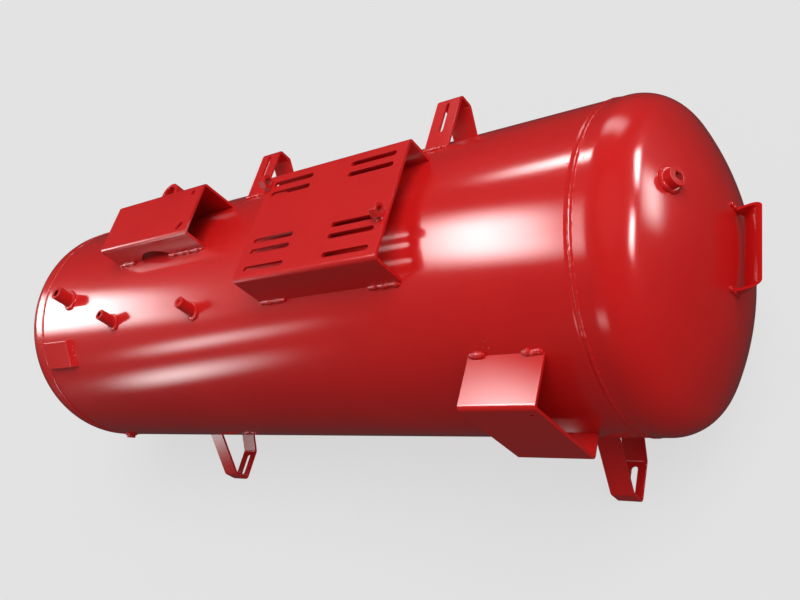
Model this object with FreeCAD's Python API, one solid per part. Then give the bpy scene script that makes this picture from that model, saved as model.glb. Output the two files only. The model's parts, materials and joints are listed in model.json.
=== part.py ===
import FreeCAD, Part
import math
import os

# Horizontal air receiver with welded brackets, in mm. X runs along the tank from the far end to the
# near end, Y points to the guard side, Z is up. The origin is on the floor, midway between the feet.
# A size called an inset is measured inwards from the far seam or the near seam of the shell.

# Tank body
shell_radius = 250.0
shell_length = 1295.0
wall = 4.0
head_flange = 20.0
head_depth = 112.0
head_knuckle = 65.0
ground_clearance = 35.0

# Flat bar and folded sheet
bar_thickness = 5.0
bar_bend = 9.0
sheet_thickness = 5.0
sheet_bend = 8.0
overlap = 12.0

# Feet
far_foot_inset = 212.0
near_foot_inset = 113.0
foot_width = 40.0
foot_overhang = 18.0
foot_face_height = 37.0
foot_sole_depth = 72.0
foot_outer_angle = 129.0
foot_inner_angle = 156.0
foot_slot_length = 50.0
foot_slot_width = 12.0
foot_slot_inset = 37.0

# Motor platform
motor_length = 305.0
motor_width = 216.0
platform_gap = 175.0
motor_centre_y = -13.0
motor_rise = 37.0
motor_slot_length = 92.0
motor_slot_width = 9.0
motor_slot_spacing = 176.0
motor_outer_row_y = 13.0
motor_inner_row_y = -8.0
motor_row_spacing = 116.0
motor_edge_row_y = -99.5

# Belt tension nuts, in line with the slots
nut_sides = 6
nut_flats = 22.0
nut_length = 13.0
nut_bore = 12.0
near_nut_gap = 0.8

# Pump platform
pump_length = 274.0
pump_width = 112.0
pump_inset = 409.5
pump_centre_y = 54.0
pump_rise = 53.0
pump_hole = 10.0
pump_hole_inset = 25.0
pump_hole_spacing = 75.0
pump_slot_length = 20.0
pump_slot_turn = 45.0
notch_width = 100.0
notch_height = 23.0
notch_shift = -10.0

# Starter bracket
starter_length = 121.0
starter_inset = 122.0
starter_reach = 38.0
starter_top = 140.0
starter_bottom = -41.0
starter_hole = 6.0
starter_hole_inset = 15.0
starter_hole_drop = 22.0

# Guard brackets
guard_width = 46.0
guard_near_setback = 13.5
guard_far_gap = 37.0
guard_arm_drop = 37.0
guard_return_angle = 54.5
guard_standoff = 37.5
guard_slot_length = 61.0
guard_slot_width = 8.0
guard_slot_end = 13.0

# End handle
handle_span = 124.0
handle_plate = 40.0
handle_sheet = 4.0
handle_lean = 48.0
handle_roll = 10.0
handle_gap = 9.0
handle_height = 4.0
handle_centre_y = 1.0
handle_cheek_fall = 13.0
handle_corner = 9.0

# Sockets: outside diameter, bore, height above the surface
small_socket = (22.0, 14.0, 35.0)
large_socket = (30.0, 20.0, 36.0)
riser_socket = (45.0, 30.0, 70.0)
head_socket = (28.0, 18.0, 15.0)
lower_socket = (20.0, 12.0, 9.0)
bore_depth = 28.0
bore_share = 0.8
plug_engagement = 10.0
plug_share = 0.6
plug_recess = 3.0
recess_share = 0.5
small_socket_angle = -28.5
near_socket_inset = 539.0
middle_socket_inset = 282.0
large_socket_inset = 110.0
large_socket_angle = -14.5
riser_gap = 4.0
riser_shift = -17.5
lower_socket_inset = 25.0
lower_socket_angle = -107.0
head_socket_height = 177.0
head_socket_y = 8.0

# Data plate holder
holder_length = 94.0
holder_width = 58.0
holder_sheet = 2.0
holder_standoff = 10.0
holder_foot = 10.0
holder_root = 6.0
holder_inset = 66.5
holder_angle = -40.6

axis_height = shell_radius + ground_clearance
foot_spacing = shell_length - far_foot_inset - near_foot_inset
far_seam = -foot_spacing / 2 - far_foot_inset
near_seam = foot_spacing / 2 + near_foot_inset
pump_centre_x = far_seam + pump_inset
motor_centre_x = pump_centre_x + (pump_length + motor_length) / 2 + platform_gap
starter_centre_x = near_seam - starter_inset
guard_near_x = motor_centre_x + motor_length / 2 - guard_near_setback
guard_far_x = pump_centre_x + pump_length / 2 + guard_far_gap
riser_x = pump_centre_x + riser_shift
apex = near_seam + head_flange + head_depth
flat_radius = shell_radius - head_knuckle
crown_radius = (flat_radius ** 2 + head_depth ** 2 - head_knuckle ** 2) / (2 * (head_depth - head_knuckle))
crown_centre_x = head_flange + head_depth - crown_radius
tiny = 1e-6
x_axis = FreeCAD.Vector(1, 0, 0)
y_axis = FreeCAD.Vector(0, 1, 0)
z_axis = FreeCAD.Vector(0, 0, 1)


def on_shell(angle, extra=0.0):
    """Y and Z of the shell surface, the angle measured from the top, positive to the guard side."""
    turn = math.radians(angle)
    reach = shell_radius + extra
    return reach * math.sin(turn), axis_height + reach * math.cos(turn)


def shell_height(y):
    """Z of the upper shell surface over y."""
    return axis_height + math.sqrt(shell_radius ** 2 - y ** 2)


def outline_wire(corners):
    """Closed wire in XY through (u, v, radius) corners, each with its own tangent arc."""
    edges = []
    starts = []
    ends = []
    count = len(corners)
    for i in range(count):
        here = FreeCAD.Vector(corners[i][0], corners[i][1], 0)
        before = FreeCAD.Vector(corners[i - 1][0], corners[i - 1][1], 0)
        after = FreeCAD.Vector(corners[(i + 1) % count][0], corners[(i + 1) % count][1], 0)
        radius = corners[i][2]
        back = (before - here).normalize()
        ahead = (after - here).normalize()
        if radius > 0:
            half = back.getAngle(ahead) / 2
            run = radius / math.tan(half)
            middle = (back + ahead).normalize() * (radius / math.sin(half) - radius)
            starts.append(here + back * run)
            ends.append(here + ahead * run)
            edges.append(Part.Arc(starts[i], here + middle, ends[i]).toShape())
        else:
            starts.append(here)
            ends.append(here)
    for i in range(count):
        edges.append(Part.makeLine(ends[i], starts[(i + 1) % count]))
    return Part.Wire(Part.__sortEdges__(edges))


def folded(corners, thickness, length):
    """Closed folded strip: an outline with its inside cut out, extruded along Z."""
    outer = outline_wire(corners)
    inner = outer.makeOffset2D(-thickness)
    return Part.Face(outer).cut(Part.Face(inner)).extrude(z_axis * length)


def stand_across(solid, start_x):
    """Turn a profile drawn in XY, as (Y, Z), to stand across the tank from start_x."""
    turned = solid.copy()
    turned.rotate(FreeCAD.Vector(), FreeCAD.Vector(1, 1, 1), 120)
    turned.translate(x_axis * start_x)
    return turned


def slot_cutter(length, width, depth):
    """Round-ended cutter along X, centred, from z = -depth/2 to depth/2."""
    straight = length - width
    block = Part.makeBox(straight, width, depth, FreeCAD.Vector(-straight / 2, -width / 2, -depth / 2))
    for side in (-1, 1):
        end = Part.makeCylinder(width / 2, depth, FreeCAD.Vector(side * straight / 2, 0, -depth / 2))
        block = block.fuse(end)
    return block.removeSplitter()


def place(solid, turn_z=0.0, turn_x=0.0, at=(0.0, 0.0, 0.0)):
    """Turn about Z, then about X, then move."""
    moved = solid.copy()
    moved.rotate(FreeCAD.Vector(), z_axis, turn_z)
    moved.rotate(FreeCAD.Vector(), x_axis, turn_x)
    moved.translate(FreeCAD.Vector(*at))
    return moved


def solid_shell():
    """The shell filled in, used to trim what is welded to it."""
    start = FreeCAD.Vector(far_seam, 0, axis_height)
    return Part.makeCylinder(shell_radius, shell_length, start, x_axis)


def bent_edge(centre, start, end):
    """Short arc about the centre between two points at the same distance from it."""
    across = ((start - centre).normalize() + (end - centre).normalize()).normalize()
    return Part.Arc(start, centre + across * start.distanceToPoint(centre), end).toShape()


def head_solid(inset=0.0):
    """Filled torispherical head, its open side in the plane x = 0 and its surface inset all over."""
    tip = FreeCAD.Vector(head_flange + head_depth - inset, 0, 0)
    rim = FreeCAD.Vector(0, 0, shell_radius - inset)
    tangent = FreeCAD.Vector(head_flange, 0, shell_radius - inset)
    knuckle_centre = FreeCAD.Vector(head_flange, 0, shell_radius - head_knuckle)
    crown_centre = FreeCAD.Vector(crown_centre_x, 0, 0)
    outwards = (knuckle_centre - crown_centre).normalize()
    join = crown_centre + outwards * (crown_radius - inset)
    edges = [
        Part.makeLine(rim, tangent),
        bent_edge(knuckle_centre, tangent, join),
        bent_edge(crown_centre, join, tip),
        Part.makeLine(tip, FreeCAD.Vector()),
        Part.makeLine(FreeCAD.Vector(), rim),
    ]
    return Part.Face(Part.Wire(edges)).revolve(FreeCAD.Vector(), x_axis, 360)


def head():
    """Hollow dished head."""
    return head_solid().cut(head_solid(wall))


def to_near_end(solid):
    return place(solid, at=(near_seam, 0, axis_height))


def to_far_end(solid):
    return place(solid, turn_z=180, at=(far_seam, 0, axis_height))


def shell():
    """Rolled shell, open at both seams."""
    start = FreeCAD.Vector(far_seam, 0, axis_height)
    inside = Part.makeCylinder(shell_radius - wall, shell_length, start, x_axis)
    return solid_shell().cut(inside)


def foot(centre_x, side):
    """Bent flat bar foot with a slotted sole, on the side given by the sign."""
    reach = shell_radius + foot_overhang
    outer_y, outer_z = on_shell(foot_outer_angle, -overlap)
    inner_y, inner_z = on_shell(foot_inner_angle, -overlap)
    corners = [
        (outer_y, outer_z, 0),
        (reach, foot_face_height, bar_bend),
        (reach, 0, bar_bend),
        (reach - foot_sole_depth, 0, bar_bend + bar_thickness),
        (inner_y, inner_z, 0),
        (0, axis_height, 0),
    ]
    bar = stand_across(folded(corners, bar_thickness, foot_width), -foot_width / 2)
    bar = bar.cut(solid_shell())
    slot = place(slot_cutter(foot_slot_length, foot_slot_width, 4 * bar_thickness), turn_z=90,
                 at=(0, reach - foot_slot_inset, 0))
    bar = bar.cut(slot)
    if side < 0:
        bar = bar.mirror(FreeCAD.Vector(), y_axis)
    return place(bar, at=(centre_x, 0, 0))


def platform(length, width, centre_x, centre_y, rise):
    """Inverted channel, open at both ends, its flanges standing on the shell."""
    top = axis_height + shell_radius + rise
    half = width / 2
    corners = [
        (centre_y - half, axis_height, 0),
        (centre_y - half, top, sheet_bend),
        (centre_y + half, top, sheet_bend),
        (centre_y + half, axis_height, 0),
    ]
    channel = stand_across(folded(corners, sheet_thickness, length), centre_x - length / 2)
    return channel.cut(solid_shell())


def motor_platform():
    """Platform with ten slots along X."""
    top = axis_height + shell_radius + motor_rise
    plate = platform(motor_length, motor_width, motor_centre_x, motor_centre_y, motor_rise)
    cutter = slot_cutter(motor_slot_length, motor_slot_width, 4 * sheet_thickness)
    rows = [motor_edge_row_y]
    for row_centre in (motor_outer_row_y, motor_inner_row_y):
        rows += [row_centre - motor_row_spacing / 2, row_centre + motor_row_spacing / 2]
    for end in (-1, 1):
        for row in rows:
            slot_x = motor_centre_x + end * motor_slot_spacing / 2
            plate = plate.cut(place(cutter, at=(slot_x, row, top)))
    return plate


def tension_nut(start_x, row):
    """Hexagon nut standing on one flat, its thread along X."""
    seat = axis_height + shell_radius + motor_rise
    corner = nut_flats / math.sqrt(3)
    points = []
    for i in range(nut_sides + 1):
        turn = 2 * math.pi * i / nut_sides
        points.append(FreeCAD.Vector(0, corner * math.cos(turn), corner * math.sin(turn)))
    block = Part.Face(Part.makePolygon(points)).extrude(x_axis * nut_length)
    block = block.cut(Part.makeCylinder(nut_bore / 2, nut_length, FreeCAD.Vector(), x_axis))
    return place(block, at=(start_x, row, seat + nut_flats / 2))


def pump_platform():
    """Platform with a round-topped notch in one flange, a hole and a slanting slot."""
    top = axis_height + shell_radius + pump_rise
    plate = platform(pump_length, pump_width, pump_centre_x, pump_centre_y, pump_rise)
    flange_y = pump_centre_y - pump_width / 2
    notch_radius = ((notch_width / 2) ** 2 + notch_height ** 2) / (2 * notch_height)
    notch_top = shell_height(flange_y) + notch_height
    start = FreeCAD.Vector(pump_centre_x + notch_shift, flange_y - sheet_thickness, notch_top - notch_radius)
    plate = plate.cut(Part.makeCylinder(notch_radius, 3 * sheet_thickness, start, y_axis))
    hole_x = pump_centre_x + pump_length / 2 - pump_hole_inset
    hole = Part.makeCylinder(pump_hole / 2, 4 * sheet_thickness)
    hole = place(hole, at=(hole_x, pump_centre_y + pump_hole_spacing / 2, top - 2 * sheet_thickness))
    slot = place(slot_cutter(pump_slot_length, pump_hole, 4 * sheet_thickness), turn_z=pump_slot_turn,
                 at=(hole_x, pump_centre_y - pump_hole_spacing / 2, top))
    return plate.cut(hole).cut(slot)


def starter_bracket():
    """Folded channel standing on the side of the shell, open at both ends."""
    reach = shell_radius + starter_reach
    top = axis_height + starter_top
    low = axis_height + starter_bottom
    corners = [(0, low, 0), (0, top, 0), (-reach, top, sheet_bend), (-reach, low, sheet_bend)]
    start_x = starter_centre_x - starter_length / 2
    channel = stand_across(folded(corners, sheet_thickness, starter_length), start_x)
    channel = channel.cut(solid_shell())
    hole_x = start_x + starter_length - starter_hole_inset
    start = FreeCAD.Vector(hole_x, -reach - sheet_thickness, top - starter_hole_drop)
    return channel.cut(Part.makeCylinder(starter_hole / 2, 3 * sheet_thickness, start, y_axis))


def guard_bracket(centre_x):
    """Bent flat bar: slotted level arm, short end face and a slanting return to the shell."""
    arm_z = axis_height + shell_radius - guard_arm_drop
    return_y, return_z = on_shell(guard_return_angle)
    reach = return_y + guard_standoff
    corners = [
        (0, arm_z, 0),
        (reach, arm_z, bar_bend),
        (reach, return_z + guard_standoff, bar_bend),
        (return_y - overlap, return_z - overlap, 0),
        (0, axis_height, 0),
    ]
    bar = stand_across(folded(corners, bar_thickness, guard_width), centre_x - guard_width / 2)
    slot = place(slot_cutter(guard_slot_length, guard_slot_width, 4 * bar_thickness), turn_z=90,
                 at=(centre_x, reach - guard_slot_end - guard_slot_length / 2, arm_z))
    return bar.cut(solid_shell()).cut(slot)


def end_handle():
    """Leaning plate with two cheeks welded to the crown of the near head."""
    lean = math.radians(handle_lean)
    rise = FreeCAD.Vector(math.cos(lean), 0, math.sin(lean))
    inward = FreeCAD.Vector(-math.sin(lean), 0, math.cos(lean))
    low = FreeCAD.Vector(apex + handle_gap, -handle_span / 2, handle_height)
    high = low + rise * handle_plate
    root_x = apex - overlap
    root_fall = handle_cheek_fall * (high.x - root_x) / (high.x - apex)
    high_root = FreeCAD.Vector(root_x, low.y, high.z - root_fall)
    low_root = FreeCAD.Vector(root_x, low.y, low.z)
    body = Part.Face(Part.makePolygon([low, high, high_root, low_root, low])).extrude(y_axis * handle_span)
    corners = [edge for edge in body.Edges
               if edge.tangentAt(edge.FirstParameter).cross(rise).Length < tiny]
    body = body.makeFillet(handle_corner, corners)
    reach = 4 * handle_plate
    inside = Part.makeBox(reach, handle_span - 2 * handle_sheet, reach, FreeCAD.Vector(0, 0, -reach / 2))
    corners = [edge for edge in inside.Edges
               if edge.BoundBox.XMax < tiny and edge.BoundBox.YLength < tiny]
    inside = inside.makeFillet(handle_corner - handle_sheet, corners)
    inside.rotate(FreeCAD.Vector(), y_axis, -90 - handle_lean)
    inside.translate(low + (inward + y_axis) * handle_sheet)
    handle = place(body.cut(inside), turn_x=handle_roll, at=(0, handle_centre_y, axis_height))
    return handle.cut(to_near_end(head_solid()))


def stub(size, base, direction, trim):
    """Socket with a blind bore: outside diameter, bore and height along the direction from base."""
    outside, bore, height = size
    start = base - direction * 2 * overlap
    body = Part.makeCylinder(outside / 2, height + 2 * overlap, start, direction)
    depth = min(bore_depth, height * bore_share)
    hole = Part.makeCylinder(bore / 2, depth, base + direction * (height - depth), direction)
    return body.cut(trim).cut(hole)


def stub_plug(size, base, direction):
    """Threaded plug in the mouth of a socket, with a square recess."""
    outside, bore, height = size
    length = min(plug_engagement, height * plug_share)
    body = Part.makeCylinder(bore / 2, length, base + direction * (height - length), direction)
    side = bore * recess_share
    recess = Part.makeBox(side, side, 2 * plug_recess, FreeCAD.Vector(-side / 2, -side / 2, -plug_recess))
    recess.Placement = FreeCAD.Placement(base + direction * height, FreeCAD.Rotation(z_axis, direction))
    return body.cut(recess)


def shell_stub_base(x, angle):
    y, z = on_shell(angle)
    return FreeCAD.Vector(x, y, z)


def head_stub_seat():
    """Point and outward direction of the socket on the crown of the near head."""
    centre = FreeCAD.Vector(near_seam + crown_centre_x, 0, axis_height)
    offset_squared = head_socket_y ** 2 + head_socket_height ** 2
    outwards_x = math.sqrt(crown_radius ** 2 - offset_squared)
    outwards = FreeCAD.Vector(outwards_x, head_socket_y, head_socket_height)
    return centre + outwards, outwards / crown_radius


def data_plate_holder():
    """Thin plate on two splayed legs, tangent to the shell."""
    half = holder_length / 2
    spread = half + holder_foot * (1 + holder_root / holder_standoff)
    corners = [
        (-spread, -holder_root, 0),
        (-half, holder_standoff, 2 * holder_sheet),
        (half, holder_standoff, 2 * holder_sheet),
        (spread, -holder_root, 0),
    ]
    plate = folded(corners, holder_sheet, holder_width)
    plate.translate(z_axis * -holder_width / 2)
    plate.rotate(FreeCAD.Vector(), x_axis, 90)
    plate.translate(FreeCAD.Vector(far_seam + holder_inset, 0, shell_radius))
    plate.rotate(FreeCAD.Vector(), x_axis, -holder_angle)
    plate.translate(z_axis * axis_height)
    return plate.cut(solid_shell())


def export(name, shape):
    solids = shape.Solids
    if len(solids) != 1 or not shape.isValid():
        raise ValueError(name + " is not one valid solid")
    solids[0].exportStep("parts/" + name + ".step")
    print(name, round(solids[0].Volume))


os.makedirs("parts", exist_ok=True)
export("shell", shell())
export("near_head", to_near_end(head()))
export("far_head", to_far_end(head()))
for end_name, end in (("near", 1), ("far", -1)):
    for side_name, side in (("front", -1), ("back", 1)):
        export("foot_" + end_name + "_" + side_name, foot(end * foot_spacing / 2, side))
export("motor_platform", motor_platform())
export("pump_platform", pump_platform())

near_nut_x = motor_centre_x + (motor_slot_spacing + motor_slot_length) / 2 + near_nut_gap
far_nut_x = motor_centre_x - motor_length / 2
export("tension_nut_near", tension_nut(near_nut_x, motor_outer_row_y - motor_row_spacing / 2))
export("tension_nut_far", tension_nut(far_nut_x, motor_outer_row_y + motor_row_spacing / 2))

export("starter_bracket", starter_bracket())
export("guard_bracket_near", guard_bracket(guard_near_x))
export("guard_bracket_far", guard_bracket(guard_far_x))
export("end_handle", end_handle())
export("data_plate_holder", data_plate_holder())

small_sockets = (("side_socket_near", near_socket_inset), ("side_socket_middle", middle_socket_inset))
for name, inset in small_sockets:
    seat = shell_stub_base(far_seam + inset, small_socket_angle)
    export(name, stub(small_socket, seat, z_axis, solid_shell()))
    export(name + "_plug", stub_plug(small_socket, seat, z_axis))
seat = shell_stub_base(far_seam + large_socket_inset, large_socket_angle)
export("side_socket_far", stub(large_socket, seat, z_axis, solid_shell()))
export("side_socket_far_plug", stub_plug(large_socket, seat, z_axis))

riser_y = pump_centre_y + pump_width / 2 + riser_gap + riser_socket[0] / 2
seat = FreeCAD.Vector(riser_x, riser_y, shell_height(riser_y))
export("riser_socket", stub(riser_socket, seat, z_axis, solid_shell()))

seat = shell_stub_base(far_seam + lower_socket_inset, lower_socket_angle)
lower_way = FreeCAD.Vector(0, seat.y, seat.z - axis_height).normalize()
export("lower_socket", stub(lower_socket, seat, lower_way, solid_shell()))
export("lower_socket_plug", stub_plug(lower_socket, seat, lower_way))

seat, way = head_stub_seat()
export("head_socket", stub(head_socket, seat, way, to_near_end(head_solid())))
export("head_socket_plug", stub_plug(head_socket, seat, way))
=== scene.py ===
import json
import math

import bmesh
import bpy
import numpy as np
from mathutils import Matrix, Vector


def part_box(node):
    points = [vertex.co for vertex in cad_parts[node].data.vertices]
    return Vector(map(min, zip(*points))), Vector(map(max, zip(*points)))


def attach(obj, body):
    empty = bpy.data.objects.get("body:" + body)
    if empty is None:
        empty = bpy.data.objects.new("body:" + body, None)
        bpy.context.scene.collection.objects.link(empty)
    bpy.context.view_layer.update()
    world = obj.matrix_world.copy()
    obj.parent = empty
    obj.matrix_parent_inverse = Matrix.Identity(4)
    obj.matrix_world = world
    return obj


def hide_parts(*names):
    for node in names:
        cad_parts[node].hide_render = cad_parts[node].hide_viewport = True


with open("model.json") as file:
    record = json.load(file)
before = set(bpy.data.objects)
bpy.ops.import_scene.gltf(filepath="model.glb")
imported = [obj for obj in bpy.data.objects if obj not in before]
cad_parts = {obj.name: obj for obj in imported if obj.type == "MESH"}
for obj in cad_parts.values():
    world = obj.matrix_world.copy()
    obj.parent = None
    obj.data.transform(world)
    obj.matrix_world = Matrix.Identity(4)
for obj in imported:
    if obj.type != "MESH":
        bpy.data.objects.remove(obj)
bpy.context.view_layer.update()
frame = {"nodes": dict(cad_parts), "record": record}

# a steel air receiver, blasted and sprayed in gloss red enamel, welds and all
# everything is in metres, X along the tank and Z up, and the places come from the CAD boxes
nodes = frame["nodes"]
shellLow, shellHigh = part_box("shell")
axisZ = (shellLow.z + shellHigh.z) / 2
shellRadius = (shellHigh.z - shellLow.z) / 2
farSeam = shellLow.x
nearSeam = shellHigh.x
mm = 0.001
plainWhite = (1.0, 1.0, 1.0, 1.0)
randomSeed = 7


def toLinear(hexColour):
    # sRGB hex to the linear values that the shaders take
    parts = np.array([int(hexColour[i:i + 2], 16) for i in (0, 2, 4)]) / 255
    linear = np.where(parts <= 0.04045, parts / 12.92, ((parts + 0.055) / 1.055) ** 2.4)
    return (*[float(v) for v in linear], 1.0)


def addNode(tree, kind, links=None, inputs=None, **settings):
    # settings are the node's own options, inputs its socket values, links the sockets that feed it
    node = tree.nodes.new(kind)
    for name, value in settings.items():
        setattr(node, name, value)
    for name, value in (inputs or {}).items():
        node.inputs[name].default_value = value
    for name, source in (links or {}).items():
        tree.links.new(source, node.inputs[name])
    return node


def camelName(node, ending):
    # side_socket_near and Weld give sideSocketNearWeld
    words = node.split("_")
    return words[0] + "".join(word.capitalize() for word in words[1:]) + ending


# solvent enamel sprayed wet over blasted steel: a saturated red under a hard gloss skin, with slow
# clouds where the coat ran thicker, the fine dimples of orange peel, and a faint wave in the plate
enamel = {
    "deep": "C31518",
    "bright": "D31E1B",
    "cloudSize": 140 * mm,
    "cloudDetail": 3.0,
    "cloudRoughness": 0.55,
    "peelSize": 2.6 * mm,
    "peelHeight": 0.012 * mm,
    "waveSize": 38 * mm,
    "waveHeight": 0.05 * mm,
    "roughness": 0.45,
    "roughnessSpread": 0.05,
    "specular": 0.05,
    "ior": 1.5,
    "coat": 1.0,
    "coatRoughness": 0.135,
}


def sprayedEnamel(name, settings, extraPeel=1.0):
    material = bpy.data.materials.new(name)
    material.use_nodes = True
    tree = material.node_tree
    tree.nodes.clear()
    place = addNode(tree, "ShaderNodeTexCoord").outputs["Object"]
    cloud = addNode(tree, "ShaderNodeTexNoise", {"Vector": place},
                    {"Scale": 1 / settings["cloudSize"], "Detail": settings["cloudDetail"],
                     "Roughness": settings["cloudRoughness"]})
    colour = addNode(tree, "ShaderNodeMix", {"Factor": cloud.outputs["Fac"]}, data_type="RGBA")
    colour.inputs["A"].default_value = toLinear(settings["deep"])
    colour.inputs["B"].default_value = toLinear(settings["bright"])
    peel = addNode(tree, "ShaderNodeTexNoise", {"Vector": place},
                   {"Scale": 1 / settings["peelSize"], "Detail": 1.0})
    wave = addNode(tree, "ShaderNodeTexNoise", {"Vector": place},
                   {"Scale": 1 / settings["waveSize"], "Detail": 1.0})
    tone = addNode(tree, "ShaderNodeMapRange", {"Value": cloud.outputs["Fac"]},
                   {"To Min": settings["roughness"] - settings["roughnessSpread"],
                    "To Max": settings["roughness"] + settings["roughnessSpread"]})
    fine = addNode(tree, "ShaderNodeBump", {"Height": peel.outputs["Fac"]},
                   {"Distance": settings["peelHeight"] * extraPeel, "Strength": 1.0})
    broad = addNode(tree, "ShaderNodeBump",
                    {"Height": wave.outputs["Fac"], "Normal": fine.outputs["Normal"]},
                    {"Distance": settings["waveHeight"] * extraPeel, "Strength": 1.0})
    shader = addNode(tree, "ShaderNodeBsdfPrincipled",
                     {"Base Color": colour.outputs["Result"], "Roughness": tone.outputs["Result"],
                      "Normal": broad.outputs["Normal"], "Coat Normal": broad.outputs["Normal"]},
                     {"IOR": settings["ior"], "Specular IOR Level": settings["specular"],
                      "Coat Weight": settings["coat"], "Coat Roughness": settings["coatRoughness"],
                      "Coat IOR": settings["ior"]})
    addNode(tree, "ShaderNodeOutputMaterial", {"Surface": shader.outputs["BSDF"]})
    return material


redEnamel = sprayedEnamel("redEnamelSprayed", enamel)
# the same coat over a bead, where it pools in the ripples and lies twice as uneven
beadEnamel = sprayedEnamel("redEnamelOverWeld", enamel, extraPeel=2.0)
print("paint mixed")

mergeGap = 0.002 * mm  # points nearer than this are one point


def addPiece(name, mesh, material):
    mesh.materials.clear()
    mesh.materials.append(material)
    piece = bpy.data.objects.new(name, mesh)
    bpy.context.scene.collection.objects.link(piece)
    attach(piece, "root")
    return piece


def meshPiece(name, grids, material):
    # each grid is points of shape rows x columns x 3, whether its rows wrap and whether its columns do;
    # four neighbouring points make a face, and points that fall together at a pole or seam are merged
    points, faces, start = [], [], 0
    for grid, wrapRows, wrapColumns in grids:
        rows, columns = grid.shape[:2]
        i, j = np.meshgrid(np.arange(rows if wrapRows else rows - 1),
                           np.arange(columns if wrapColumns else columns - 1), indexing="ij")
        nextI, nextJ = (i + 1) % rows, (j + 1) % columns
        quads = np.stack([i * columns + j, nextI * columns + j,
                          nextI * columns + nextJ, i * columns + nextJ], -1)
        points.append(grid.reshape(-1, 3))
        faces.append(quads.reshape(-1, 4) + start)
        start += rows * columns
    mesh = bpy.data.meshes.new(name)
    mesh.from_pydata(np.concatenate(points).tolist(), [], np.concatenate(faces).tolist())
    work = bmesh.new()
    work.from_mesh(mesh)
    bmesh.ops.remove_doubles(work, verts=work.verts, dist=mergeGap)
    bmesh.ops.dissolve_degenerate(work, edges=work.edges, dist=mergeGap)
    bmesh.ops.recalc_face_normals(work, faces=work.faces)
    for face in work.faces:
        face.smooth = True
    work.to_mesh(mesh)
    work.free()
    return addPiece(name, mesh, material)


def shellPoint(angle, x, lift=0.0):
    # (x, r sin t, r cos t) on the shell, t in degrees from the top, positive to the guard side
    turn = np.radians(angle)
    reach = shellRadius + lift
    return np.stack(np.broadcast_arrays(x, reach * np.sin(turn), axisZ + reach * np.cos(turn)), -1)


def shellHeight(y):
    # the axis height plus the root of radius squared less y squared
    return axisZ + np.sqrt(shellRadius ** 2 - y ** 2)


def shellSide(z):
    # how far out the shell is at a height: the root of radius squared less height squared
    return math.sqrt(shellRadius ** 2 - (z - axisZ) ** 2)


def lathe(x, radius, around):
    # a profile of x and radius turned about the tank's axis: (x, r sin a, r cos a) for a all round
    a = np.linspace(0, 2 * np.pi, around, endpoint=False)
    return np.stack(np.broadcast_arrays(x[:, None], radius[:, None] * np.sin(a),
                                        axisZ + radius[:, None] * np.cos(a)), -1)


tank = {"wall": 4 * mm, "flange": 20 * mm, "knuckle": 65 * mm, "pull": 0.15 * mm, "pullWidth": 22 * mm,
        "around": 360, "rowStep": 9 * mm, "flangeRows": 5, "knuckleRows": 26, "crownRows": 60,
        "flatFrom": 0.9}  # a face that looks this much along X is a cut end and stays flat


def seamPull(x):
    # the shell draws in a little beside a girth weld: a narrow bell curve on each seam
    nearBell = np.exp(-((x - nearSeam) / tank["pullWidth"]) ** 2)
    farBell = np.exp(-((x - farSeam) / tank["pullWidth"]) ** 2)
    return tank["pull"] * (nearBell + farBell)


def rolledShell():
    # a closed loop of profile points, out along the outside and back along the inside, turned round
    x = np.linspace(farSeam, nearSeam, int((nearSeam - farSeam) / tank["rowStep"]))
    wholeX = np.concatenate([x, [nearSeam, farSeam]])
    wholeR = np.concatenate([shellRadius - seamPull(x), np.full(2, shellRadius - tank["wall"])])
    piece = meshPiece("rolledShell", [(lathe(wholeX, wholeR, tank["around"]), True, True)], redEnamel)
    for face in piece.data.polygons:
        face.use_smooth = abs(face.normal.x) < tank["flatFrom"]
    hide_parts("shell")


def headShape(node):
    # a dished end from its depth: the knuckle's centre ring, the crown's radius, and the crown's centre
    low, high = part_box(node)
    depth = high.x - low.x - tank["flange"]
    ring = shellRadius - tank["knuckle"]
    crown = (ring ** 2 + depth ** 2 - tank["knuckle"] ** 2) / (2 * (depth - tank["knuckle"]))
    return ring, crown, tank["flange"] + depth - crown


def headOutline(node, inset):
    # straight flange, knuckle arc and crown arc: two circles that meet where one line joins their centres
    ring, crown, crownX = headShape(node)
    meet = math.atan2(ring, tank["flange"] - crownX)
    straight = np.linspace(0, tank["flange"], tank["flangeRows"] + 1)[:-1]
    bend = np.linspace(math.pi / 2, meet, tank["knuckleRows"])
    dome = np.linspace(meet, 0, tank["crownRows"])[1:]
    x = np.concatenate([straight, tank["flange"] + (tank["knuckle"] - inset) * np.cos(bend),
                        crownX + (crown - inset) * np.cos(dome)])
    radius = np.concatenate([np.full(tank["flangeRows"], shellRadius - inset),
                             ring + (tank["knuckle"] - inset) * np.sin(bend),
                             (crown - inset) * np.sin(dome)])
    return x, radius


def dishedHead(name, node, seam, side):
    # the outline turned round twice, outside with its rim and inside, and joined at the rim
    outerX, outerR = headOutline(node, 0.0)
    innerX, innerR = headOutline(node, tank["wall"])
    outerX, innerX = seam + side * outerX, seam + side * innerX
    outerR = outerR - seamPull(outerX)
    rimX = np.concatenate([innerX[:1], outerX])
    rimR = np.concatenate([innerR[:1], outerR])
    piece = meshPiece(name, [(lathe(rimX, rimR, tank["around"]), False, True),
                             (lathe(innerX, innerR, tank["around"]), False, True)], redEnamel)
    for face in piece.data.polygons:
        face.use_smooth = abs(face.normal.x) < tank["flatFrom"] or abs(face.center.x - seam) > mm
    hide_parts(node)


rolledShell()
dishedHead("nearDishedHead", "near_head", nearSeam, 1)
dishedHead("farDishedHead", "far_head", farSeam, -1)
print("shell and heads done")

edges = {"width": 0.7 * mm, "segments": 2, "limit": math.radians(40), "smooth": math.radians(35),
         "merge": 0.01 * mm, "flat": math.radians(0.5)}


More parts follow.
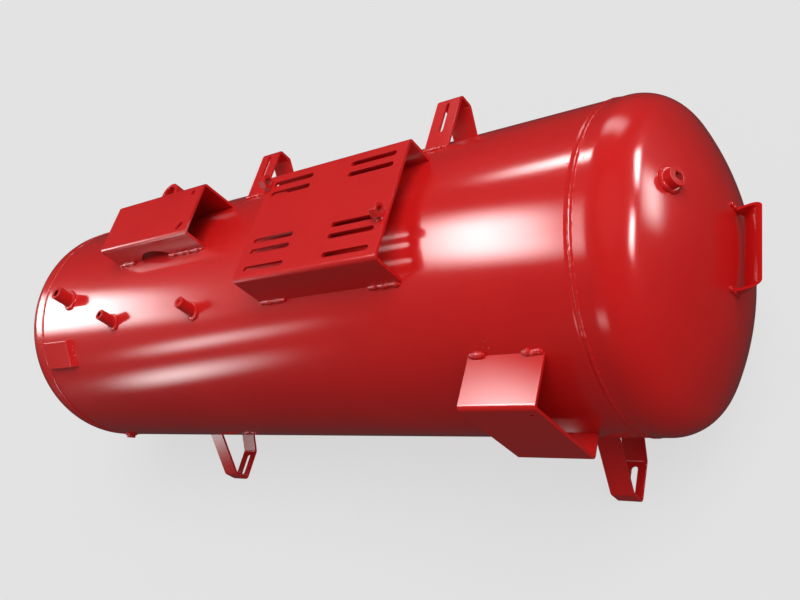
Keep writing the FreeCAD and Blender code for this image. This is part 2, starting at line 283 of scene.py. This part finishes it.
def paintedCopy(node):
    # the CAD piece merged into one skin, its sharp edges rounded as paint rounds them
    name = camelName(node, "Painted")
    mesh = nodes[node].data.copy()
    mesh.name = name
    work = bmesh.new()
    work.from_mesh(mesh)
    bmesh.ops.remove_doubles(work, verts=work.verts, dist=edges["merge"])
    bmesh.ops.dissolve_limit(work, angle_limit=edges["flat"], verts=work.verts, edges=work.edges)
    for face in work.faces:
        face.smooth = True
    for edge in work.edges:
        if len(edge.link_faces) == 2:
            edge.smooth = edge.calc_face_angle(0) < edges["smooth"]
    work.to_mesh(mesh)
    work.free()
    piece = addPiece(name, mesh, redEnamel)
    bevel = piece.modifiers.new("paintedEdges", "BEVEL")
    bevel.width = edges["width"]
    bevel.segments = edges["segments"]
    bevel.limit_method = "ANGLE"
    bevel.angle_limit = edges["limit"]
    bevel.harden_normals = True
    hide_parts(node)


for node in sorted(nodes):
    if node not in ("shell", "near_head", "far_head"):
        paintedCopy(node)
print("brackets and sockets painted")

# hand-run MIG beads: a round back with crescent ripples, a width that wanders and a line that strays;
# the three runs are how many bead radii a swell, a stray and the fade at a closed bead's join take
weld = {"ripple": 0.07, "pitch": 3.2 * mm, "bow": 0.9, "swell": 0.3, "swellRun": 5, "stray": 0.16,
        "strayRun": 7, "fadeRun": 4, "sides": 16, "step": 0.7 * mm, "fineStep": 0.5 * mm, "lean": 0.4,
        "ringPoints": 181}
dice = np.random.default_rng(randomSeed)


def wander(run, wavelength, amount):
    # a smooth uneven factor near 1: three sines of unlike length and random phase
    phase = dice.uniform(0, 2 * np.pi, 3)
    lengths = wavelength * np.array([1.0, 0.61, 0.37])
    share = np.array([0.5, 0.3, 0.2])
    return 1 + amount * (np.sin(2 * np.pi * run[:, None] / lengths + phase) * share).sum(1)


def resample(path, step):
    # evenly spaced points along a path, and how far along it each one is
    run = np.concatenate([[0], np.cumsum(np.linalg.norm(np.diff(path, axis=0), axis=1))])
    even = np.linspace(0, run[-1], max(8, int(run[-1] / step)))
    return np.stack([np.interp(even, run, path[:, k]) for k in range(3)], -1), even


def bead(path, up, radius, closed=False, rise=1.0, step=None, rough=1.0, sides=None):
    # a round section carried along the path: centre + r (cos a up rise + sin a side), where r swells with
    # cos(2 pi (run + bow r cos a) / pitch) and closes to a point at open ends
    path, run = resample(np.asarray(path, float), step or weld["step"])
    if closed:
        path, run = path[:-1], run[:-1]
        ahead = np.roll(path, -1, 0) - np.roll(path, 1, 0)
    else:
        ahead = np.gradient(path, axis=0)
    ahead /= np.linalg.norm(ahead, axis=1, keepdims=True)
    up = np.broadcast_to(up(path) if callable(up) else np.asarray(up, float), path.shape)
    up = up - (up * ahead).sum(1, keepdims=True) * ahead
    up = up / np.linalg.norm(up, axis=1, keepdims=True)
    side = np.cross(ahead, up)
    a = np.linspace(0, 2 * np.pi, sides or weld["sides"], endpoint=False)
    whole = run[-1]
    pitch = whole / max(1, round(whole / weld["pitch"]))
    swell = wander(run, weld["swellRun"] * radius, weld["swell"] * rough)
    drift = wander(run, weld["strayRun"] * radius, weld["stray"] * rough) - 1
    if closed:
        fade = np.clip(np.minimum(run, whole - run) / (weld["fadeRun"] * radius), 0, 1)
        swell, drift = 1 + (swell - 1) * fade, drift * fade
    path = path + side * (radius * drift)[:, None]
    phase = 2 * np.pi * (run[:, None] + weld["bow"] * radius * np.cos(a)) / pitch
    r = radius * swell[:, None] * (1 + weld["ripple"] * rough * np.cos(phase))
    if not closed:
        nearEnd = np.clip(np.minimum(run, whole - run) / radius, 0, 1)
        r = r * np.sqrt(1 - (1 - nearEnd) ** 2)[:, None]
    section = rise * np.cos(a)[:, None] * up[:, None] + np.sin(a)[:, None] * side[:, None]
    return path[:, None] + r[..., None] * section, closed, True


def outward(path):
    # straight out from the tank's axis
    out = path - np.array([0, 0, axisZ])
    out[:, 0] = 0
    return out / np.linalg.norm(out, axis=1, keepdims=True)


def stitch(x0, x1, point, radius, toward=(0, 0), rise=1.0):
    # a straight run along X beside a plate; toward leans it off the plate
    path = np.array([[x0, *point], [x1, *point]]) + np.array([0, *toward]) * radius * weld["lean"]
    return bead(path, outward, radius, rise=rise)


girth = {"radius": 3.6 * mm, "rise": 0.33, "step": 1.1 * mm, "rough": 0.55, "points": 721}


def girthWeld(name, seam):
    # a low bead all round a seam
    turn = np.linspace(0, 360, girth["points"])
    path = shellPoint(turn, np.full(turn.shape, seam), -seamPull(np.array([seam]))[0])
    grid = bead(path, outward, girth["radius"], closed=True, rise=girth["rise"], step=girth["step"],
                rough=girth["rough"])
    meshPiece(name, [grid], beadEnamel)


girthWeld("nearGirthWeld", nearSeam)
girthWeld("farGirthWeld", farSeam)

# runs are measured along X from the far end of the piece, or from the near end where they are negative
platformWeld = {
    "motor_platform": {"runs": [(3 * mm, 64 * mm), (-64 * mm, -3 * mm)], "radius": 4.2 * mm},
    "pump_platform": {"runs": [(6 * mm, 58 * mm), (-107 * mm, -1 * mm)], "radius": 4.6 * mm},
}


def platformWelds():
    # stitches under both flanges of each platform
    for node, settings in platformWeld.items():
        low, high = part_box(node)
        grids = []
        for y, side in ((low.y, -1), (high.y, 1)):
            for start, end in settings["runs"]:
                edge = low.x if start >= 0 else high.x
                grids.append(stitch(edge + start, edge + end, (y, shellHeight(y)), settings["radius"],
                                    (side, 0.5)))
        meshPiece(camelName(node, "Welds"), grids, beadEnamel)


platformWelds()

starterWeld = {"runs": [(2 * mm, 29 * mm), (-34 * mm, -1 * mm)], "radius": 5.2 * mm, "rise": 0.75,
               "lean": (-0.3, 1), "second": 3.4 * mm, "secondRise": 0.8, "secondLean": (-1.6, 1.4),
               "secondTrim": (5 * mm, -4 * mm)}


def starterWelds():
    # a thick lumpy run with a thinner pass over it, above the top plate and below the bottom one
    low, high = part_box("starter_bracket")
    (leanY, leanZ), (secondY, secondZ) = starterWeld["lean"], starterWeld["secondLean"]
    trimStart, trimEnd = starterWeld["secondTrim"]
    grids = []
    for z, side in ((high.z, 1), (low.z, -1)):
        root = (-shellSide(z), z)
        for start, end in starterWeld["runs"]:
            edge = low.x if start >= 0 else high.x
            grids.append(stitch(edge + start, edge + end, root, starterWeld["radius"],
                                (leanY, side * leanZ), starterWeld["rise"]))
            grids.append(stitch(edge + start + trimStart, edge + end + trimEnd, root, starterWeld["second"],
                                (secondY, side * secondZ), starterWeld["secondRise"]))
    meshPiece("starterBracketWelds", grids, beadEnamel)


starterWelds()

barWeld = {"radius": 3.6 * mm, "footAngles": (129.2, 154.5), "guardReturn": 54.3}


def barWelds():
    # short runs across the width of each flat bar, where its outer faces meet the shell
    radius = barWeld["radius"]
    for end in ("near", "far"):
        grids = []
        for row, side in (("front", -1), ("back", 1)):
            low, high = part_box("foot_" + end + "_" + row)
            for angle in barWeld["footAngles"]:
                root = shellPoint(side * angle, 0.0)[1:]
                grids.append(stitch(low.x + mm, high.x - mm, root, radius))
        meshPiece(end + "FeetWelds", grids, beadEnamel)
        low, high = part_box("guard_bracket_" + end)
        arm = (shellSide(high.z), high.z)
        back = shellPoint(barWeld["guardReturn"], 0.0)[1:]
        grids = [stitch(low.x + mm, high.x - mm, arm, radius, (0, 1)),
                 stitch(low.x + mm, high.x - mm, back, radius, (1, 0))]
        meshPiece(end + "GuardBracketWelds", grids, beadEnamel)


barWelds()

socketWeld = {"radius": {"side_socket_near": 4.4 * mm, "side_socket_middle": 4.4 * mm,
                         "side_socket_far": 5.0 * mm, "riser_socket": 5.0 * mm}, "overlap": 0.25}


def socketWelds():
    # round each upright socket: (x + r cos t, y + r sin t, the shell's height there)
    turn = np.linspace(0, 2 * np.pi, weld["ringPoints"])
    for node, radius in socketWeld["radius"].items():
        low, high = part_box(node)
        ring = (high.x - low.x) / 2 + radius * socketWeld["overlap"]
        x = (low.x + high.x) / 2 + ring * np.cos(turn)
        y = (low.y + high.y) / 2 + ring * np.sin(turn)
        path = np.stack([x, y, shellHeight(y)], -1)
        meshPiece(camelName(node, "Weld"),
                  [bead(path, outward, radius, closed=True, step=weld["fineStep"])], beadEnamel)


socketWelds()


def onNearHead(y, z):
    # x of the dished end: the crown's sphere in the middle, the knuckle's torus towards the edge
    ring, crown, crownX = headShape("near_head")
    reach = np.hypot(y, z - axisZ)
    dome = nearSeam + crownX + np.sqrt(np.maximum(crown ** 2 - reach ** 2, 0))
    bend = nearSeam + tank["flange"] + np.sqrt(np.maximum(tank["knuckle"] ** 2 - (reach - ring) ** 2, 0))
    return np.where(reach < crown * ring / (crown - tank["knuckle"]), dome, bend)


def ringAbout(centre, way, radius):
    # a circle square to its way out: centre + r (cos t across + sin t other)
    turn = np.linspace(0, 2 * np.pi, weld["ringPoints"])
    across = way.cross(Vector((0, 1, 0))).normalized()
    other = way.cross(across)
    return np.array(centre) + radius * (np.cos(turn)[:, None] * np.array(across)
                                        + np.sin(turn)[:, None] * np.array(other))


headSocketWeld = {"radius": 4.6 * mm, "overlap": 0.15, "settle": 6}


def weldHeadSocket():
    # the ring slides along the socket until it lies on the head
    low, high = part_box("head_socket")
    centre = (low + high) / 2
    way = (centre - Vector((nearSeam + headShape("near_head")[2], 0, axisZ))).normalized()
    path = ringAbout(centre, way,
                     (high.y - low.y) / 2 + headSocketWeld["radius"] * headSocketWeld["overlap"])
    for turn in range(headSocketWeld["settle"]):
        gap = onNearHead(path[:, 1], path[:, 2]) - path[:, 0]
        path = path + gap[:, None] * np.array(way)
    meshPiece("headSocketWeld", [bead(path, way, headSocketWeld["radius"], closed=True,
                                      step=weld["fineStep"])], beadEnamel)


handleWeld = {"radius": 3.2 * mm, "span": 62 * mm, "plate": 36 * mm, "middle": 1 * mm,
              "roll": math.radians(10), "points": 40}


def weldHandle():
    # up the root of each cheek, which is turned by the handle's roll and laid on the head
    rise = np.linspace(0, handleWeld["plate"], handleWeld["points"])
    roll, grids = handleWeld["roll"], []
    for side in (-1, 1):
        reach = side * handleWeld["span"]
        y = handleWeld["middle"] + reach * math.cos(roll) - rise * math.sin(roll)
        z = axisZ + reach * math.sin(roll) + rise * math.cos(roll)
        grids.append(bead(np.stack([onNearHead(y, z), y, z], -1), (1, 0, 0), handleWeld["radius"]))
    meshPiece("endHandleWelds", grids, beadEnamel)


lowerSocketWeld = {"radius": 3.4 * mm, "overlap": 0.2}


def weldLowerSocket():
    # a ring about the slanting socket, moved out along it by the root of radius squared less offset squared
    low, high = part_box("lower_socket")
    centre = (low + high) / 2
    way = Vector((0, centre.y, centre.z - axisZ)).normalized()
    path = ringAbout(Vector((centre.x, 0, axisZ)), way,
                     (high.x - low.x) / 2 + lowerSocketWeld["radius"] * lowerSocketWeld["overlap"])
    offset = path - np.array([0, 0, axisZ])
    along = offset @ np.array(way)
    beside = offset - along[:, None] * np.array(way)
    beside[:, 0] = 0
    lift = np.sqrt(shellRadius ** 2 - (beside ** 2).sum(1))
    path = path + (lift - along)[:, None] * np.array(way)
    meshPiece("lowerSocketWeld", [bead(path, outward, lowerSocketWeld["radius"], closed=True,
                                       step=weld["fineStep"])], beadEnamel)


weldHeadSocket()
weldHandle()
weldLowerSocket()

nutWeld = {"radius": 3.2 * mm, "beside": 8 * mm, "lift": 0.6 * mm}


def nutWelds():
    # two short runs beside each tension nut
    for end in ("near", "far"):
        low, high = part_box("tension_nut_" + end)
        z = low.z + nutWeld["lift"]
        grids = []
        for side in (-1, 1):
            y = (low.y + high.y) / 2 + side * nutWeld["beside"]
            grids.append(bead([[low.x, y, z], [high.x, y, z]], (0, 0, 1), nutWeld["radius"]))
        meshPiece("tensionNut" + end.capitalize() + "Welds", grids, beadEnamel)


nutWelds()

holderWeld = {"radius": 2.2 * mm, "reach": 55 * mm, "width": 54 * mm, "angle": -40.6, "points": 60}


def holderWelds():
    # an arc on the shell across each leg of the data plate holder
    low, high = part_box("data_plate_holder")
    half = math.degrees(holderWeld["width"] / 2 / shellRadius)
    turn = np.linspace(holderWeld["angle"] - half, holderWeld["angle"] + half, holderWeld["points"])
    grids = [bead(shellPoint(turn, (low.x + high.x) / 2 + side * holderWeld["reach"]), outward,
                  holderWeld["radius"]) for side in (-1, 1)]
    meshPiece("dataPlateHolderWelds", grids, beadEnamel)


holderWelds()

thread = {"pitch": 1.8 * mm, "ridge": 0.55 * mm, "sunk": 0.2 * mm, "deepest": 16 * mm, "margin": 1 * mm,
          "around": 48, "step": 0.8 * mm, "sides": 6}


def threadRidge(name, mount):
    # a helix just inside the bore's wall: (r cos t, r sin t, pitch t / 2 pi) about the bore's axis
    way = Vector(mount["axis"])
    across = way.orthogonal().normalized()
    other = way.cross(across)
    radius = mount["dims"]["r_mm"] * mm - thread["sunk"]
    depth = min(mount["dims"]["length_mm"] * mm, thread["deepest"]) - 2 * thread["margin"]
    count = int(thread["around"] * depth / thread["pitch"])
    turn = np.linspace(0, 2 * np.pi * depth / thread["pitch"], count)
    sunk = turn * thread["pitch"] / (2 * np.pi) + thread["margin"]
    centre = np.array(mount["pos_m"]) - sunk[:, None] * np.array(way)
    out = np.cos(turn)[:, None] * np.array(across) + np.sin(turn)[:, None] * np.array(other)
    meshPiece(name, [bead(centre + radius * out, way, thread["ridge"], step=thread["step"], rough=0.0,
                          sides=thread["sides"])], beadEnamel)


for mount in frame["record"]["mounts"]:
    if mount["kind"] == "threaded_hole":
        threadRidge(camelName(mount["name"], "Ridge"), mount)

# each patch is how many balls, its middle and its spread, in metres; their heights follow from the shell
spatter = {
    "small": 0.4 * mm, "large": 0.95 * mm, "around": 10, "rows": 6, "sideLimit": 0.21,
    "shellPatches": [(12, (0.433, -0.197, 0), (0.014, 0.007, 0)),
                     (12, (0.52, -0.197, 0), (0.014, 0.007, 0)),
                     (10, (-0.158, -0.119, 0), (0.016, 0.016, 0)),
                     (10, (-0.415, -0.119, 0), (0.016, 0.016, 0)),
                     (12, (-0.305, 0.1365, 0), (0.03, 0.024, 0)),
                     (26, (nearSeam, -0.03, 0), (0.008, 0.05, 0))],
    "headCount": 18, "headSpread": (0, 0.02, 0.02), "nutCount": 7, "nutSpread": (0.004, 0.012, 0),
}


def scatter(count, centre, spread):
    # places that thin out from a middle, as the normal distribution has them
    return np.array(centre) + dice.normal(0, 1, (count, 3)) * np.array(spread)


def weldSpatter():
    # little balls half sunk in the paint: centre + r (cos u sin v, sin u sin v, cos v)
    onShell = np.concatenate([scatter(*patch) for patch in spatter["shellPatches"]])
    onShell[:, 1] = np.clip(onShell[:, 1], -spatter["sideLimit"], spatter["sideLimit"])
    onShell[:, 2] = shellHeight(onShell[:, 1])
    low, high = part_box("head_socket")
    root = (0, (low.y + high.y) / 2, (low.z + high.z) / 2)
    onHead = scatter(spatter["headCount"], root, spatter["headSpread"])
    onHead[:, 0] = onNearHead(onHead[:, 1], onHead[:, 2])
    onPlatform = []
    for end in ("near", "far"):
        low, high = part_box("tension_nut_" + end)
        foot = ((low.x + high.x) / 2, (low.y + high.y) / 2, low.z)
        onPlatform.append(scatter(spatter["nutCount"], foot, spatter["nutSpread"]))
    points = np.concatenate([onShell, onHead, *onPlatform])
    radius = dice.uniform(spatter["small"], spatter["large"], len(points))
    u = np.linspace(0, 2 * np.pi, spatter["around"], endpoint=False)
    v = np.linspace(0, np.pi, spatter["rows"])[:, None]
    ball = np.stack(np.broadcast_arrays(np.cos(u) * np.sin(v), np.sin(u) * np.sin(v), np.cos(v)), -1)
    grids = points[:, None, None] + radius[:, None, None, None] * ball
    meshPiece("weldSpatter", [(grid, False, True) for grid in grids], beadEnamel)


weldSpatter()
print("welds run")

# the camera looks down at the handle end with its frame rolled over, so the tank lies across the view
cameraSetup = {"place": (1.0703, -0.6727, 1.2801), "aim": (0.0569, 0.0150, 0.2505), "roll": 50.5,
               "lens": 37.45, "sensor": 36, "shift": (0.020, 0.0048)}


def placeCamera():
    data = bpy.data.cameras.new("studioCamera")
    data.lens = cameraSetup["lens"]
    data.sensor_width = cameraSetup["sensor"]
    data.shift_x, data.shift_y = cameraSetup["shift"]
    camera = bpy.data.objects.new("studioCamera", data)
    bpy.context.scene.collection.objects.link(camera)
    look = Vector(cameraSetup["aim"]) - Vector(cameraSetup["place"])
    turn = look.to_track_quat("-Z", "Y").to_matrix().to_4x4()
    camera.matrix_world = (Matrix.Translation(cameraSetup["place"]) @ turn
                           @ Matrix.Rotation(math.radians(-cameraSetup["roll"]), 4, "Z"))
    bpy.context.scene.camera = camera


placeCamera()

# soft boxes that only the gloss shows, so each lays its own highlight and no more; each is a glowing sheet
# from start to end, as wide as said along "across", and dims over a share of its length or width
softBoxes = {
    "shellGlow": {"start": (-1.55, 0.28, 2.68), "end": (-0.5, -0.36, 3.12), "across": (0, 1, -0.02),
                  "width": 2.2, "glow": 27, "dimStart": 0.55, "dimEnd": 0.55, "dimSide": 0.38},
    "shellGlowUpper": {"start": (-1.2, 1.9, 2.23), "end": (-0.4, 2.08, 2.34), "across": (0, 0.65, -0.76),
                       "width": 0.6, "glow": 26, "dimStart": 0.75, "dimEnd": 0.15, "dimSide": 0.5},
    "farGlow": {"start": (-3.6, 0.12, 1.62), "end": (-2.35, -0.62, 2.3), "across": (0, 1, 0.12),
                "width": 1.45, "glow": 17, "dimStart": 0.1, "dimEnd": 0.62, "dimSide": 0.36},
    "streakHigh": {"start": (-3.0, -1.55, 1.33), "end": (-1.8, -1.69, 2.04), "across": (0, 0.58, 0.81),
                   "width": 0.56, "glow": 8, "dimStart": 0.4, "dimEnd": 0.6, "dimSide": 0.5},
    "streakLow": {"start": (-3.1, -1.8, 0.36), "end": (-1.98, -2.17, 1.16), "across": (0, 0.25, 0.97),
                  "width": 0.85, "glow": 8, "dimStart": 0.4, "dimEnd": 0.6, "dimSide": 0.5},
    "headStripBack": {"start": (2.6, 2.3, 0.92), "end": (3.3, 1.35, 0.7), "across": (0, 0, 1),
                      "width": 0.85, "glow": 40, "dimStart": 0.3, "dimEnd": 0.4, "dimSide": 0.5},
    "headStripFront": {"start": (3.4, 1.0, 1.05), "end": (3.56, -0.5, 1.36), "across": (0, 0, 1),
                       "width": 0.9, "glow": 34, "dimStart": 0.3, "dimEnd": 0.5, "dimSide": 0.5},
    "headLow": {"start": (2.9, 2.0, 0.12), "end": (3.45, 0.8, 0.02), "across": (0, 0, 1),
                "width": 0.7, "glow": 13, "dimStart": 0.4, "dimEnd": 0.4, "dimSide": 0.5},
    "backWall": {"start": (-0.6, 3.2, 1.75), "end": (1.9, 3.2, 1.75), "across": (0, 0, 1),
                 "width": 1.5, "glow": 3.5, "dimStart": 0.3, "dimEnd": 0.3, "dimSide": 0.45},
    "frontWall": {"start": (-0.9, -3.2, 2.0), "end": (0.9, -3.2, 2.0), "across": (0, 0, 1),
                  "width": 1.1, "glow": 3, "dimStart": 0.3, "dimEnd": 0.3, "dimSide": 0.45},
}


def glowingSheet(name, box):
    # nylon diffuser cloth: plain white light that falls away smoothly to each edge
    material = bpy.data.materials.new(name + "Diffuser")
    material.use_nodes = True
    tree = material.node_tree
    tree.nodes.clear()
    place = addNode(tree, "ShaderNodeUVMap").outputs["UV"]
    sheet = addNode(tree, "ShaderNodeSeparateXYZ", {"Vector": place})
    strength = None
    for side, low, high in (("X", 0.0, box["dimStart"]), ("X", 1.0, 1 - box["dimEnd"]),
                            ("Y", 0.0, box["dimSide"]), ("Y", 1.0, 1 - box["dimSide"])):
        dim = addNode(tree, "ShaderNodeMapRange", {"Value": sheet.outputs[side]},
                      {"From Min": low, "From Max": high}, interpolation_type="SMOOTHSTEP")
        if strength is None:
            strength = addNode(tree, "ShaderNodeMath", {0: dim.outputs["Result"]}, {1: box["glow"]},
                               operation="MULTIPLY")
        else:
            strength = addNode(tree, "ShaderNodeMath",
                               {0: dim.outputs["Result"], 1: strength.outputs["Value"]},
                               operation="MULTIPLY")
    glow = addNode(tree, "ShaderNodeEmission", {"Strength": strength.outputs["Value"]},
                   {"Color": plainWhite})
    addNode(tree, "ShaderNodeOutputMaterial", {"Surface": glow.outputs["Emission"]})
    start, end = np.array(box["start"]), np.array(box["end"])
    half = np.array(box["across"]) / np.linalg.norm(box["across"]) * box["width"] / 2
    mesh = bpy.data.meshes.new(name)
    mesh.from_pydata([start - half, end - half, end + half, start + half], [], [(0, 1, 2, 3)])
    mesh.uv_layers.new(name="UVMap").data.foreach_set("uv", [0, 0, 1, 0, 1, 1, 0, 1])
    mesh.materials.append(material)
    piece = bpy.data.objects.new(name, mesh)
    bpy.context.scene.collection.objects.link(piece)
    piece.visible_camera = False
    piece.visible_diffuse = False
    piece.visible_shadow = False


for name, box in softBoxes.items():
    glowingSheet(name, box)

studio = {"keyFrom": (0.45, 0.12, 0.88), "keyStrength": 2.5, "keyAngle": math.radians(50), "air": 0.31,
          "gloom": 0.04, "backdrop": 0.76, "floorColour": "5E5E5E", "floorGlow": 0.655, "floorHalf": 9.0}


def studioLight():
    # a broad key from above the handle end, and air that is pale to the eye and dim to the gloss
    key = bpy.data.objects.new("skyKey", bpy.data.lights.new("skyKey", "SUN"))
    bpy.context.scene.collection.objects.link(key)
    key.rotation_euler = Vector(studio["keyFrom"]).to_track_quat("Z", "Y").to_euler()
    key.data.energy = studio["keyStrength"]
    key.data.angle = studio["keyAngle"]
    key.visible_glossy = False
    world = bpy.data.worlds.new("studioAir")
    bpy.context.scene.world = world
    world.use_nodes = True
    tree = world.node_tree
    tree.nodes.clear()
    ray = addNode(tree, "ShaderNodeLightPath")
    seen = addNode(tree, "ShaderNodeMapRange", {"Value": ray.outputs["Is Camera Ray"]},
                   {"To Min": studio["air"], "To Max": studio["backdrop"]})
    strength = addNode(tree, "ShaderNodeMapRange",
                       {"Value": ray.outputs["Is Glossy Ray"], "To Min": seen.outputs["Result"]},
                       {"To Max": studio["gloom"]})
    air = addNode(tree, "ShaderNodeBackground", {"Strength": strength.outputs["Result"]},
                  {"Color": plainWhite})
    addNode(tree, "ShaderNodeOutputWorld", {"Surface": air.outputs["Background"]})


def studioFloor():
    # opal acrylic table top, lit from inside: matt and pale, with only soft shadows left on it
    material = bpy.data.materials.new("litAcrylicTable")
    material.use_nodes = True
    shader = material.node_tree.nodes["Principled BSDF"]
    shader.inputs["Base Color"].default_value = toLinear(studio["floorColour"])
    shader.inputs["Roughness"].default_value = 1.0
    shader.inputs["Specular IOR Level"].default_value = 0.0
    shader.inputs["Emission Color"].default_value = plainWhite
    shader.inputs["Emission Strength"].default_value = studio["floorGlow"]
    half = studio["floorHalf"]
    mesh = bpy.data.meshes.new("studioFloor")
    mesh.from_pydata([(-half, -half, 0), (half, -half, 0), (half, half, 0), (-half, half, 0)], [],
                     [(0, 1, 2, 3)])
    mesh.materials.append(material)
    floor = bpy.data.objects.new("studioFloor", mesh)
    bpy.context.scene.collection.objects.link(floor)
    floor.visible_glossy = False
    floor.visible_diffuse = False


studioLight()
studioFloor()
bpy.context.scene.view_settings.view_transform = "Standard"
print("camera, lights and floor placed")
